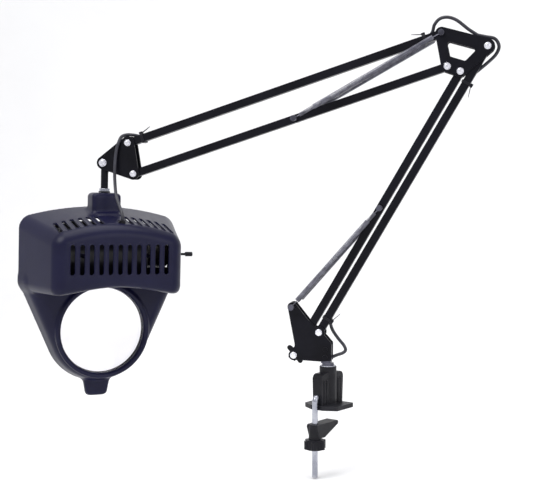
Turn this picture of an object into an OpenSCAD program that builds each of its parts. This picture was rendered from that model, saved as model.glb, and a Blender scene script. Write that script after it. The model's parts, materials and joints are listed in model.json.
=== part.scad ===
// Swing-arm magnifying lamp with a table clamp: two spring-balanced parallelogram arms carry a
// hooded lamp head with a round lens.
// Millimetres, +Z up.  The origin is on the swivel axis, in the plane of the table top.
// The arms lie in the XZ plane at rest, with the elbow towards +X and the head towards -X.

/* [Arms] */
// Width of the square arm bars
bar_w = 11; // [10:0.5:12]
// Wall thickness of the arm bars
bar_wall = 1.3; // [1:0.1:2]
// Pivot to pivot length of the lower arm
lower_len = 455; // [430:1:480]
// Pivot to pivot length of the forearm
fore_len = 470; // [440:1:500]
// Lean of the lower arm from vertical at rest
lower_lean = 30.2; // [22:0.1:32]
// Droop of the forearm below horizontal at rest
fore_droop = 17.9; // [5:0.1:30]
// Thickness of the steel bracket plates
plate_t = 2; // [1.5:0.1:2.5]
// Shank radius of the pivot bolts
bolt_r = 2.5; // [2:0.1:2.8]

/* [Springs] */
// Outer radius of the spring coils
coil_r = 3.8; // [3.6:0.05:4.3]
// Radius of the spring wire
wire_r = 0.65; // [0.5:0.05:0.8]
// Distance of the lower stud up the lower arm
lower_stud = 241; // [225:1:255]
// Distance of the forearm stud along the forearm
fore_stud = 221; // [205:1:235]

/* [Clamp] */
// Angle from the arm plane's normal to the direction into the table
clamp_yaw = 26; // [0:1:45]
// Thickness of the table that the clamp is closed on
table_t = 19; // [12:1:40]
// Height of the socket collar above the table
collar_h = 58.5; // [54:0.5:60]
// Radius of the swivel pin
pin_r = 6; // [5:0.1:7]
// Radius of the hooked clamp rod
rod_r = 4; // [3.5:0.1:4.2]

/* [Head] */
// Turn of the head about its stem at rest
head_yaw = 37.4; // [-60:0.1:60]
// Sideways lean of the head at rest
head_roll = 1.6; // [-8:0.1:8]
// Radius of the glass lens
lens_r = 63.5; // [62:0.1:64]
// Radius of curvature of each lens face
lens_curve = 346; // [300:1:500]
// Wall thickness of the moulded head
shell_t = 3; // [2.5:0.1:3.5]
// Half width of the head at its open rim
rim_half = 118; // [116:1:121]
// Radius of the power cord
cord_r = 2.3; // [2:0.1:2.5]

/* [Hidden] */
$fn = 48;

// Fits
run_fit = 0.05;           // radial clearance of a turning pin
hair = 0.03;              // makes corner circles cross their outline cleanly

// Layers across the arm, measured from its middle plane
gap_half = bar_w / 2 + 0.8;         // inner face of each bracket plate
plate_out = gap_half + plate_t;     // outer face of each bracket plate
sleeve_r = 4.2;                     // pivot sleeves that the bars turn on
spring_y = 15.6;                    // middle of the springs
stud_end = 20.5;                    // outer end of the spring studs

// Pivots in the arm plane, as [x, z]
base_left = [-48, 73.5];
bar_offset = [36, 33.2];            // from a left pivot to its right pivot
base_right = base_left + bar_offset;
spring_anchor = base_left + [-2, 68.5];
lower_dir = 90 - lower_lean;        // direction angles, from +X towards +Z
fore_dir = 180 + fore_droop;
function heading(a) = [cos(a), sin(a)];
elbow_left = base_left + lower_len * heading(lower_dir);
elbow_right = elbow_left + bar_offset;
elbow_top = elbow_left + [-25.5, 51.5];
elbow_low = elbow_left + [-17.5, 7];
head_top = elbow_top + fore_len * heading(fore_dir);
head_low = elbow_low + fore_len * heading(fore_dir);
tilt_pivot = head_top + [-38, -28.5];
lower_stud_at = base_left + lower_stud * heading(lower_dir);
fore_stud_at = elbow_low + fore_stud * heading(fore_dir);

function length_of(v) = sqrt(v[0] * v[0] + v[1] * v[1]);
function angle_of(v) = atan2(v[1], v[0]);

// Springs
lower_spring_dir = angle_of(lower_stud_at - spring_anchor);
fore_spring_dir = angle_of(fore_stud_at - elbow_top);
coil_start = 13;                    // coil end to anchor
lower_coil_end = 162;
fore_coil_end = 199;
inner_coil_r = 2.9;                 // the stud end of each spring slides inside the coil
hook_loop_r = 3.4;

// Clamp
rod_y = -31;                        // rod, in front of the table edge
hook_z = 18;                        // height of the rod's hooked end
bend_r = 6;
rod_end = -94;
jaw_top = -table_t;
jaw_h = 19.4;
knob_h = 15.5;
washer_h = 1.5;

// Head, measured from the tilt pivot
lens_z = -245;
box_front = -84;
rim_y = 28;
lamp_y = -12;
lamp_z = -133;
neck_top = -43.4;
front_half = 82;                    // middle of the front corner rounding
front_r = 12;
crown_top = -64;                    // top of the open rim
crown_slope = 12.1;                 // fall of the roof towards the front
crown_r = 400;                      // side-to-side curve of the roof
corner_r = 16;
vent_pitch = 13.6;
top_vent_pitch = 11.8;
bowl_r = 38;                        // reflector
screw_x = 3.5 * vent_pitch;         // reflector screws, between two of the front vents
screw_z = -131;
lens_lip = 0.9;                     // width of the ledge that the lens rests on
bush_r = 7.5;
bush_seat = -69;                    // the neck bush is held up against this face
cord_hole = [7.5, -64];

// Colours
navy = [0.10, 0.10, 0.20];
arm_black = [0.09, 0.09, 0.13];
chrome = [0.85, 0.85, 0.88];
steel = [0.45, 0.45, 0.48];
charcoal = [0.13, 0.13, 0.15];
cord_grey = [0.16, 0.16, 0.17];

// ---------- outlines and placing ----------

// Direction in which the tangent line from circle a to circle b faces, the circles in
// counter-clockwise order
function tangent_face(a, b) =
  angle_of([b[0] - a[0], b[1] - a[1]]) -
  acos((a[2] - b[2]) / length_of([b[0] - a[0], b[1] - a[1]]));

// Convex plate outline wrapped round circles given as [x, y, radius], counter-clockwise
module wrapped(c) {
  n = len(c);
  polygon([
    for (i = [0:n - 1])
      let (a = c[i], b = c[(i + 1) % n], f = tangent_face(a, b))
        each [[a[0], a[1]] + a[2] * heading(f), [b[0], b[1]] + b[2] * heading(f)]
  ]);
  for (k = c) translate([k[0], k[1]]) circle(r = k[2] + hair);
}

// Extrudes an outline drawn in X and Z from y0 to y1
module slab(y0, y1) {
  translate([0, y1, 0]) rotate([90, 0, 0]) linear_extrude(y1 - y0) children();
}

// Rod along Y
module pin_y(r, y0, y1, sides = 48) {
  translate([0, y0, 0]) rotate([-90, 0, 0]) cylinder(r = r, h = y1 - y0, $fn = sides);
}

// Rod along X
module pin_x(r, x0, x1) {
  translate([x0, 0, 0]) rotate([0, 90, 0]) cylinder(r = r, h = x1 - x0);
}

// Puts children at a point of the arm plane
module at(p) {
  translate([p[0], 0, p[1]]) children();
}

// Puts children at p with their X along direction angle a
module along(p, a) {
  at(p) rotate([0, -a, 0]) children();
}

module both_sides() {
  children();
  mirror([0, 1, 0]) children();
}

// Round wire through a list of points
module wire(points, r) {
  for (i = [0:len(points) - 2])
    let (d = points[i + 1] - points[i], run = sqrt(d * d))
      translate(points[i])
        rotate([0, acos(d[2] / run), atan2(d[1], d[0])]) cylinder(r = r, h = run);
  for (i = [1:len(points) - 2]) translate(points[i]) sphere(r = r + 0.12);
}

module clamp_frame() {
  rotate([0, 0, -clamp_yaw]) children();
}

module stem_frame() {
  at(tilt_pivot) rotate([0, head_roll, 0]) children();
}

module head_frame() {
  stem_frame() rotate([0, 0, head_yaw]) children();
}

// ---------- repeated pieces ----------

module bolt(p, r = bolt_r, head_r = 4.75, tail = 13.5) {
  at(p) {
    pin_y(r, -plate_out - 0.5, tail);
    pin_y(head_r + 0.5, -plate_out - 1.1, -plate_out - 0.05);
    pin_y(head_r, -plate_out - 4.3, -plate_out - 1.05, 6);
  }
}

module nut(p, r = bolt_r, hex_r = 4.75) {
  at(p) difference() {
    pin_y(hex_r, plate_out + 0.05, plate_out + 4.2, 6);
    pin_y(r + run_fit, plate_out - 1, plate_out + 5);
  }
}

module wing_nut(p, a, r = bolt_r) {
  along(p, a) difference() {
    union() {
      pin_y(5.2, plate_out + 0.05, plate_out + 6);
      slab(plate_out + 2, plate_out + 4.6) {
        wrapped([[-12, 2, 3.6], [0, -1, 3.4], [-2, 3, 2.6]]);
        wrapped([[12, 2, 3.6], [2, 3, 2.6], [0, -1, 3.4]]);
      }
    }
    pin_y(r + run_fit, plate_out - 1, plate_out + 7);
  }
}

module sleeve(p, bore = bolt_r + 0.1) {
  at(p) difference() {
    pin_y(sleeve_r, -gap_half + 0.05, gap_half - 0.05);
    pin_y(bore, -gap_half - 1, gap_half + 1);
  }
}

// Square tube with a pivot bore at each end
module bar(p, a, len, stud = 0) {
  over = 7;
  in_w = bar_w - 2 * bar_wall;
  along(p, a) difference() {
    translate([-over, -bar_w / 2, -bar_w / 2]) cube([len + 2 * over, bar_w, bar_w]);
    translate([-over - 1, -in_w / 2, -in_w / 2]) cube([len + 2 * over + 2, in_w, in_w]);
    for (x = [0, len]) translate([x, 0, 0]) pin_y(sleeve_r + run_fit, -bar_w, bar_w);
    if (stud > 0) translate([stud, 0, 0]) pin_y(2.25, -bar_w, bar_w);
  }
}

module stud_cap(y) {
  pin_y(4.1, y - 2.6, y);
}

// Through pin with a collar and a cap on each side
module stud_pin(p, r, collar_from) {
  at(p) {
    pin_y(r, -stud_end + 1, stud_end - 1);
    both_sides() {
      pin_y(3.4, collar_from, spring_y - 2);
      stud_cap(stud_end);
    }
  }
}

// Hook loop round a stud, and the straight wire that leads from it
module hook(reach) {
  rotate([-90, 0, 0]) rotate_extrude() translate([hook_loop_r, 0]) circle(r = wire_r, $fn = 24);
  pin_x(wire_r, hook_loop_r, reach);
}

// Anchor end of a spring pair: loop, then the main coil as a tube
module spring_pair(p, a, coil_end) {
  along(p, a) both_sides() translate([0, spring_y, 0]) {
    hook(coil_start + 1);
    difference() {
      pin_x(coil_r, coil_start, coil_end);
      pin_x(inner_coil_r + 0.15, coil_start + 1.5, coil_end + 1);
    }
  }
}

// Stud end of a spring pair: loop, then a short coil that slides inside the main one
module spring_hook_pair(p, a, inner_len) {
  along(p, a + 180) both_sides() translate([0, spring_y, 0]) {
    hook(9.5);
    difference() {
      pin_x(inner_coil_r, 9, inner_len);
      pin_x(inner_coil_r - 1.3, 10.5, inner_len + 1);
    }
  }
}

// Cable tie round a bar and the cord behind it
module cable_tie(x) {
  in_h = bar_w / 2 + 0.1;
  back = bar_w / 2 + 2 * cord_r + 0.35;
  t = 1.2;
  translate([x - 1.8, 0, 0]) difference() {
    union() {
      translate([0, -in_h - t, -in_h - t]) cube([3.6, back + in_h + 2 * t, 2 * (in_h + t)]);
      translate([0, -in_h - 1.5, in_h + t - 1]) cube([3.6, 5, 4]);
    }
    translate([-1, -in_h, -in_h]) cube([6, back + in_h, 2 * in_h]);
  }
}

// ---------- clamp ----------

module clamp_body() {
  rib_y = [14, 19];
  color(charcoal) clamp_frame() difference() {
    union() {
      linear_extrude(6)
        wrapped([[-9, -24, 3], [9, -24, 3], [25, -15, 3], [25, 21, 3], [-25, 21, 3], [-25, -15, 3]]);
      cylinder(r = 12, h = collar_h);
      translate([8, 0, 0]) rotate([90, 0, -90]) linear_extrude(16)
        wrapped([[-22.5, 7, 2], [22.5, 7, 2], [18, 42, 8], [-18, 42, 8]]);
      for (y = rib_y, s = [-1, 1]) translate([-9.2, s * y - 1, 5]) cube([18.4, 2, 36]);
    }
    translate([0, 0, 8]) cylinder(r = pin_r + run_fit, h = collar_h);
    translate([0, 0, hook_z]) pin_y(rod_r + run_fit, rod_y, -12.5);
  }
}

module clamp_hook_rod() {
  bend_y = rod_y + bend_r;
  bend_z = hook_z - bend_r;
  color(chrome) clamp_frame() {
    translate([0, rod_y, rod_end]) cylinder(r = rod_r, h = bend_z - rod_end);
    translate([0, bend_y, bend_z]) rotate([90, 0, -90])
      rotate_extrude(angle = 90) translate([bend_r, 0]) circle(r = rod_r);
    translate([0, 0, hook_z]) pin_y(rod_r, bend_y, -13);
  }
}

module swivel_washer() {
  color(chrome) translate([0, 0, collar_h]) difference() {
    cylinder(r = 10.6, h = washer_h);
    translate([0, 0, -1]) cylinder(r = pin_r + 0.1, h = washer_h + 2);
  }
}

module lower_jaw() {
  z0 = jaw_top - jaw_h;
  color(charcoal) clamp_frame() difference() {
    union() {
      translate([9, 0, 0]) rotate([90, 0, -90]) linear_extrude(18)
        wrapped([[20, z0 + 2, 2], [31, z0 + 2, 2], [35, jaw_top - 3, 3], [-10, jaw_top - 3, 3]], $fn = 32);
      translate([0, rod_y, z0 - 0.2]) cylinder(r = 8.6, h = jaw_h + 0.2);
    }
    translate([0, rod_y, z0 - 1]) cylinder(r = rod_r + 0.08, h = jaw_h + 2);
  }
}

module clamp_knob() {
  top = jaw_top - jaw_h - 0.4;
  color(charcoal) clamp_frame() translate([0, rod_y, top - knob_h]) difference() {
    union() {
      cylinder(r = 12.5, h = knob_h - 2);
      cylinder(r = 9, h = knob_h);
      for (i = [0:5]) rotate([0, 0, 60 * i]) translate([11.6, 0, 1]) cylinder(r = 4.4, h = knob_h - 4);
    }
    translate([0, 0, -1]) cylinder(r = rod_r + run_fit, h = knob_h + 2);
  }
}

// ---------- base bracket ----------

rivets = [[-3, 72], [-3, 83]];

module swivel_pin() {
  shoulder = collar_h + washer_h + 0.1;
  tang_half = gap_half - 0.1;
  color(steel) difference() {
    union() {
      translate([0, 0, 9]) cylinder(r = pin_r, h = shoulder - 8);
      translate([0, 0, shoulder]) cylinder(r = 8.4, h = 3.2);
      translate([-9, -tang_half, shoulder + 3]) cube([14, 2 * tang_half, 25]);
    }
    for (p = rivets) at(p) pin_y(2.05, -10, 10);
  }
}

// Outline of a base plate, with its pivots, spring anchor and rivet holes
module base_plate_outline() {
  difference() {
    union() {
      polygon([[-56.1, 140], [-46.5, 90], [-46.5, 67], [-9, 65.6], [6, 67], [6, 92], [-2, 101],
               [-17, 114.5], [-27, 124], [-44.8, 146]]);
      translate(spring_anchor) circle(r = 6.6);
      translate(base_left) circle(r = 7.2);
      translate(base_right) circle(r = 8.6);
    }
    translate(base_left) circle(r = bolt_r + 0.1);
    translate(base_right) circle(r = bolt_r + 0.1);
    translate(spring_anchor) circle(r = 2.25);
    for (p = rivets) translate(p) circle(r = 2.05);
  }
}

module base_plate_front() {
  color(arm_black) slab(-plate_out, -gap_half) base_plate_outline();
}

module base_plate_rear() {
  color(arm_black) slab(gap_half, plate_out) base_plate_outline();
}

module base_rivets() {
  color(arm_black) for (p = rivets) at(p) {
    pin_y(2, -plate_out - 0.5, plate_out + 0.5);
    both_sides() pin_y(3.4, plate_out + 0.05, plate_out + 1.1);
  }
}

module base_sleeves() {
  color(steel) {
    sleeve(base_left);
    sleeve(base_right);
  }
}

module base_bolts() {
  color(chrome) {
    bolt(base_right);
    bolt(base_left, tail = 16);
  }
}

module base_nut() {
  color(chrome) nut(base_right);
}

module tension_wing_nut() {
  color(charcoal) wing_nut(base_left, -50);
}

module lower_spring_anchors() {
  color(charcoal) at(spring_anchor) both_sides() {
    pin_y(2.2, gap_half + 0.1, stud_end - 1);
    pin_y(3.6, plate_out + 0.05, spring_y - 2);
    stud_cap(stud_end);
  }
}

module base_cord() {
  color(cord_grey) wire([[6, 1, 104], [15, 2, 92], [23.5, 2, 80.5], [17, 1, 75], [8.5, 0, 71]], cord_r);
}

// ---------- lower arm ----------

module left_lower_bar() {
  color(arm_black) bar(base_left, lower_dir, lower_len, lower_stud);
}

module lower_spring_stud() {
  color(steel) stud_pin(lower_stud_at, 2.2, bar_w / 2 + 0.05);
}

module right_lower_bar() {
  color(arm_black) bar(base_right, lower_dir, lower_len);
}

cord_back = bar_w / 2 + cord_r + 0.2;

module lower_cord_run() {
  color(cord_grey) along(base_right, lower_dir)
    translate([0, cord_back, 0]) pin_x(cord_r, 16, lower_len - 46);
}

module lower_cord_ties() {
  color(charcoal) along(base_right, lower_dir) {
    mirror([0, 0, 1]) cable_tie(22);
    mirror([0, 0, 1]) cable_tie(lower_len - 56);
  }
}

module lower_springs() {
  color(steel) spring_pair(spring_anchor, lower_spring_dir, lower_coil_end);
}

module lower_spring_hooks() {
  color(steel) spring_hook_pair(lower_stud_at, lower_spring_dir, 48);
}

// ---------- elbow ----------

module elbow_plate_outline() {
  d = elbow_left;
  difference() {
    wrapped([[d[0], d[1], 7.6], [elbow_right[0], elbow_right[1], 9.6], [elbow_top[0], elbow_top[1], 8.6],
             [elbow_low[0], elbow_low[1], 8.2]]);
    wrapped([[d[0] + 5.5, d[1] + 17, 3], [d[0] + 16, d[1] + 27.5, 3], [d[0] - 14.5, d[1] + 36.5, 3],
             [d[0] - 11.5, d[1] + 22.5, 3]]);
    for (p = [elbow_left, elbow_right, elbow_low, elbow_top])
      translate(p) circle(r = bolt_r + 0.1);
  }
}

module elbow_plate_front() {
  color(arm_black) slab(-plate_out, -gap_half) elbow_plate_outline();
}

module elbow_plate_rear() {
  color(arm_black) slab(gap_half, plate_out) elbow_plate_outline();
}

module elbow_sleeves() {
  color(steel) for (p = [elbow_left, elbow_right, elbow_low, elbow_top]) sleeve(p);
}

module elbow_bolts() {
  color(chrome) for (p = [elbow_left, elbow_right, elbow_low]) bolt(p);
}

module elbow_nuts() {
  color(chrome) for (p = [elbow_left, elbow_right, elbow_low]) nut(p);
}

module elbow_anchor_pin() {
  color(steel) stud_pin(elbow_top, bolt_r, plate_out + 0.05);
}

module elbow_cord() {
  a = elbow_top;
  b = elbow_right;
  color(cord_grey) wire([[a[0] - 8, 1, a[1] + 12.5], [a[0] + 1, 1, a[1] + 21], [a[0] + 17, 1, a[1] + 18],
    [b[0] - 6, 1, b[1] + 14], [b[0] + 11, 1, b[1] + 8], [b[0] + 13, 1, b[1] - 3]], cord_r);
}

// ---------- forearm ----------

module upper_forearm_bar() {
  color(arm_black) bar(elbow_top, fore_dir, fore_len);
}

module forearm_cord_run() {
  color(cord_grey) along(elbow_top, fore_dir)
    translate([0, cord_back, 0]) pin_x(cord_r, 18, fore_len - 18);
}

module forearm_cord_ties() {
  color(charcoal) along(elbow_top, fore_dir) {
    mirror([0, 0, 1]) cable_tie(24);
    mirror([0, 0, 1]) cable_tie(fore_len - 22);
  }
}

module lower_forearm_bar() {
  color(arm_black) bar(elbow_low, fore_dir, fore_len, fore_stud);
}

module forearm_spring_stud() {
  color(steel) stud_pin(fore_stud_at, 2.2, bar_w / 2 + 0.05);
}

module forearm_springs() {
  color(steel) spring_pair(elbow_top, fore_spring_dir, fore_coil_end);
}

module forearm_spring_hooks() {
  color(steel) spring_hook_pair(fore_stud_at, fore_spring_dir, 60);
}

// ---------- head bracket ----------

tilt_bolt_r = 3;

module head_plate_outline() {
  difference() {
    wrapped([[head_low[0], head_low[1], 8.6], [head_top[0], head_top[1], 9.6],
             [tilt_pivot[0], tilt_pivot[1], 9.2]]);
    translate(head_top) circle(r = bolt_r + 0.1);
    translate(head_low) circle(r = bolt_r + 0.1);
    translate(tilt_pivot) circle(r = tilt_bolt_r + 0.1);
  }
}

module head_plate_front() {
  color(arm_black) slab(-plate_out, -gap_half) head_plate_outline();
}

module head_plate_rear() {
  color(arm_black) slab(gap_half, plate_out) head_plate_outline();
}

module head_sleeves() {
  color(steel) {
    sleeve(head_top);
    sleeve(head_low);
  }
}

module head_bolts() {
  color(chrome) {
    bolt(head_top);
    bolt(head_low);
  }
}

module head_nuts() {
  color(chrome) {
    nut(head_top);
    nut(head_low);
  }
}

module tilt_bolt() {
  color(chrome) bolt(tilt_pivot, tilt_bolt_r, 5.2, 17);
}

module tilt_wing_nut() {
  color(charcoal) wing_nut(tilt_pivot, 70, tilt_bolt_r);
}

// ---------- stem ----------

stem_r = 5.3;
thread_r = 4.9;

module swivel_stem() {
  color(arm_black) stem_frame() difference() {
    union() {
      pin_y(8, -gap_half + 0.15, gap_half - 0.15);
      translate([0, 0, -37]) cylinder(r = stem_r, h = 33);
      translate([0, 0, -78]) cylinder(r = thread_r, h = 42);
    }
    pin_y(tilt_bolt_r + run_fit, -10, 10);
  }
}

module ring_z(r, bore, z0, h, sides = 48) {
  translate([0, 0, z0]) difference() {
    cylinder(r = r, h = h, $fn = sides);
    translate([0, 0, -1]) cylinder(r = bore, h = h + 2);
  }
}

module stem_collar_nut() {
  color(chrome) stem_frame() ring_z(8, thread_r + 0.02, -41.2, 4.1, 6);
}

module stem_washer() {
  color(charcoal) stem_frame() ring_z(8.4, thread_r + 0.02, -43.1, 1.8);
}

module stem_locknut() {
  color(chrome) stem_frame() ring_z(8, thread_r + 0.02, -76, 5, 6);
}

module head_cord() {
  color(cord_grey) stem_frame() wire([[6, -14.5, 8], [8, -13, -8], [9, -11, -24], [11, -11, -38]], cord_r);
}

// ---------- head ----------

// Arched top of the lamp box as seen from the front, with its crown at 0; t moves it inwards
module crown_outline(t) {
  corner = [rim_half - corner_r, sqrt(pow(crown_r - corner_r, 2) - pow(rim_half - corner_r, 2)) - crown_r];
  reach = [corner[0], corner[1] + crown_r] * 1.1;
  intersection() {
    translate([0, -crown_r]) circle(r = crown_r - t, $fn = 720);
    translate([0, -crown_r]) polygon([[0, 0], reach, [-reach[0], reach[1]]]);
  }
  for (s = [-1, 1]) translate([s * corner[0], corner[1]]) circle(r = corner_r - t + hair);
  translate([t - rim_half, corner[1] - 200]) square([2 * (rim_half - t), 200]);
}

// Lamp box seen from above, narrower at the front
module plan_outline(t) {
  r = front_r;
  wrapped([[-front_half, box_front + r, r - t], [front_half, box_front + r, r - t],
           [rim_half - 8.5, rim_y + 12, r - t], [8.5 - rim_half, rim_y + 12, r - t]]);
}

// Solid that fills the lamp box; t shrinks it to give the inside, which opens at the rim
module box_form(t) {
  back = rim_y + sign(t);
  intersection() {
    translate([0, rim_y, crown_top]) rotate([crown_slope, 0, 0]) slab(-130, 40) crown_outline(t);
    translate([0, 0, -260]) linear_extrude(260) plan_outline(t);
    slab(box_front - 10, back)
      wrapped([for (c = [[-1, -171], [1, -171], [1, -60], [-1, -60]])
        [c[0] * (rim_half - 18), c[1], 18 - t]]);
  }
}

// Solid that fills the shield round the lens
module shield_form(t) {
  intersection() {
    slab(t - 5, rim_y + sign(t))
      wrapped([[0, lens_z, 79 - t], [rim_half - 18.3, -171.3, 18 - t], [18.3 - rim_half, -171.3, 18 - t]],
              $fn = 128);
    translate([0, 0, -340]) linear_extrude(300) plan_outline(t + 0.05);
  }
}

// Arch that the underside of the lamp box follows above the lens
module box_arch(extra) {
  arch_r = 200;
  translate([0, 0, -174.5 - arch_r]) pin_y(arch_r + extra, box_front - 4, extra - 4.7, 360);
}

module vent_slot(x, y, half_len, half_w) {
  translate([x, y]) {
    square([2 * half_w, 2 * half_len], center = true);
    for (s = [-1, 1]) translate([0, s * half_len]) circle(r = half_w, $fn = 24);
  }
}

module head_housing() {
  seat_r = lens_r + 0.2;
  color(navy) head_frame() {
    difference() {
      union() {
        difference() {
          box_form(0);
          box_arch(0);
        }
        shield_form(0);
        translate([0, 0, -84]) linear_extrude(84 + neck_top)
          wrapped([[-14.5, -10, 7], [14.5, -10, 7], [14.5, 10, 7], [-14.5, 10, 7]]);
        slab(rim_y - 8, rim_y - 0.2)
          wrapped([[-12, -337, 4], [12, -337, 4], [17, -318, 4], [-17, -318, 4]]);
        translate([0, -5.1, lens_z]) rotate([90, 0, 0])
          rotate_extrude($fn = 96) translate([seat_r + 2.6, 0]) circle(r = 3.4, $fn = 24);
      }
      difference() {
        box_form(shell_t);
        box_arch(shell_t);
      }
      shield_form(shell_t);
      translate([0, 0, lens_z]) pin_y(lens_r - lens_lip, -12, 3, 96);
      slab(box_front - 2, box_front + 12)
        for (i = [-5:5]) vent_slot(i * vent_pitch, -135, 18, 3.1);
      translate([0, 0, -102]) linear_extrude(44)
        for (i = [0:5], s = [-1, 1]) vent_slot(s * (21.5 + i * top_vent_pitch), -50, 17.5, 2.4);
      translate([0, 0, -90]) cylinder(r = bush_r + run_fit, h = 60);
      translate([0, 0, -90]) cylinder(r = 11.6, h = 90 + bush_seat);
      translate([cord_hole[0], cord_hole[1], -102]) cylinder(r = 4.3, h = 40);
      translate([0, lamp_y, lamp_z]) pin_x(4.5, 95, 125);
    }
    // Lens seat, and the bosses that the reflector is screwed to
    translate([0, 0, lens_z]) difference() {
      pin_y(seat_r + 3.6, -4, 9.6, 96);
      pin_y(seat_r, 3.2, 10, 96);
      pin_y(lens_r - lens_lip, -12, 10, 96);
    }
    for (s = [-1, 1]) translate([s * screw_x, 0, screw_z]) difference() {
      pin_y(3.4, box_front + 1.5, lamp_y - bowl_r - 0.2);
      pin_y(1.55, lamp_y - bowl_r - 8, lamp_y);
    }
  }
}

module neck_bush() {
  color(steel) head_frame() difference() {
    union() {
      translate([0, 0, bush_seat - 1]) cylinder(r = bush_r, h = neck_top - bush_seat + 1);
      translate([0, 0, bush_seat - 1.6]) cylinder(r = 10.5, h = 1.55);
    }
    translate([0, 0, bush_seat - 2]) cylinder(r = thread_r + run_fit, h = 40);
  }
}

// Half-round trough behind the bulb with closed ends, in a flange that fills the lamp box
module reflector() {
  flange = [9, 10];
  color([0.9, 0.9, 0.88]) head_frame() translate([0, lamp_y, lamp_z]) difference() {
    union() {
      difference() {
        pin_x(bowl_r, -72, 52);
        translate([-80, flange[1], -60]) cube([140, 60, 120]);
      }
      slab(flange[0], flange[1])
        wrapped([[-101, -33, 3], [101, -33, 3], [98, 30, 6], [45, 42, 6], [-45, 42, 6], [-98, 30, 6]]);
    }
    pin_x(bowl_r - 1, -71, 51);
    translate([50, flange[0] - 1, -20]) cube([48, 3, 40]);
    pin_x(14.5, 45, 60);
    for (s = [-1, 1]) translate([s * screw_x, 0, screw_z - lamp_z]) pin_y(1.6, -bowl_r - 5, -bowl_r + 5);
  }
}

module reflector_screws() {
  color(chrome) head_frame() for (s = [-1, 1]) translate([s * screw_x, lamp_y - bowl_r, screw_z]) {
    pin_y(1.5, -6, 2);
    pin_y(3, 1.5, 3);
  }
}

module lampholder() {
  color([0.12, 0.12, 0.12]) head_frame() translate([0, lamp_y, lamp_z]) difference() {
    union() {
      pin_x(19, 56, 90);
      pin_x(14.2, 50.5, 57);
      pin_x(12, 89, 94.5);
    }
    pin_x(13.3, 40, 74);
    pin_x(1.9, 70, 100);
  }
}

// Half section of the bulb along its axis, which is the section's Y
module bulb_section(t) {
  intersection() {
    wrapped([[0, -10, 30 - t], [0, 32, 12.5 - t]]);
    translate([0, -60]) square([40, 104]);
  }
}

module bulb_glass() {
  color([0.95, 0.95, 0.92]) head_frame() translate([0, lamp_y, lamp_z]) rotate([0, 90, 0])
    rotate_extrude($fn = 96) difference() {
      bulb_section(0);
      bulb_section(1);
    }
}

module bulb_cap() {
  color([0.8, 0.75, 0.6]) head_frame() translate([0, lamp_y, lamp_z]) {
    pin_x(13, 44.05, 66);
    pin_x(5, 65, 69);
  }
}

// Biconvex, with a flat cylindrical edge
module lens() {
  edge = 1.3;
  depth = lens_curve - sqrt(lens_curve * lens_curve - lens_r * lens_r) + edge;
  color([0.85, 0.88, 0.95]) head_frame() translate([0, 5, lens_z]) rotate([90, 0, 0])
    rotate_extrude($fn = 96) intersection() {
      translate([0, -depth]) square([lens_r, 2 * depth]);
      translate([0, lens_curve - depth]) circle(r = lens_curve, $fn = 1440);
      translate([0, depth - lens_curve]) circle(r = lens_curve, $fn = 1440);
    }
}

module lens_ring() {
  color(charcoal) head_frame() translate([0, 0, lens_z]) difference() {
    pin_y(lens_r, 7, 9.5, 96);
    pin_y(lens_r - 1.4, 5, 11, 96);
  }
}

module cord_grommet() {
  color(charcoal) head_frame() translate([cord_hole[0], cord_hole[1], -81.9]) difference() {
    union() {
      translate([0, 0, -8.5]) cylinder(r = 4.2, h = 9);
      cylinder(r = 5.6, h = 1.4);
    }
    translate([0, 0, -12]) cylinder(r = cord_r + 0.3, h = 20);
  }
}

module switch_knob() {
  color(charcoal) head_frame() translate([0, lamp_y, lamp_z]) {
    pin_x(1.85, 90, 126);
    pin_x(3.4, 124, 134);
  }
}

clamp_body();
clamp_hook_rod();
swivel_washer();
lower_jaw();
clamp_knob();
swivel_pin();
base_plate_front();
base_plate_rear();
base_rivets();
base_sleeves();
base_bolts();
base_nut();
tension_wing_nut();
lower_spring_anchors();
base_cord();
left_lower_bar();
lower_spring_stud();
right_lower_bar();
lower_cord_run();
lower_cord_ties();
lower_springs();
lower_spring_hooks();
elbow_plate_front();
elbow_plate_rear();
elbow_sleeves();
elbow_bolts();
elbow_nuts();
elbow_anchor_pin();
elbow_cord();
upper_forearm_bar();
forearm_cord_run();
forearm_cord_ties();
lower_forearm_bar();
forearm_spring_stud();
forearm_springs();
forearm_spring_hooks();
head_plate_front();
head_plate_rear();
head_sleeves();
head_bolts();
head_nuts();
tilt_bolt();
tilt_wing_nut();
swivel_stem();
stem_collar_nut();
stem_washer();
stem_locknut();
head_cord();
head_housing();
neck_bush();
reflector();
reflector_screws();
lampholder();
bulb_glass();
bulb_cap();
lens();
lens_ring();
cord_grommet();
switch_knob();
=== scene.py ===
"""Looks of a swing-arm magnifying lamp with a table clamp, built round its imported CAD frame.

Metres, +Z up.  The origin is on the swivel axis in the plane of the table top, and the arms lie in the
XZ plane at rest.  The head has its own frame, in millimetres: +X to its right, +Y to its open back, +Z
up the stem, with the origin on the tilt pivot."""
import json
import math

import bmesh
import bpy
import numpy as np
from mathutils import Matrix, Vector


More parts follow.
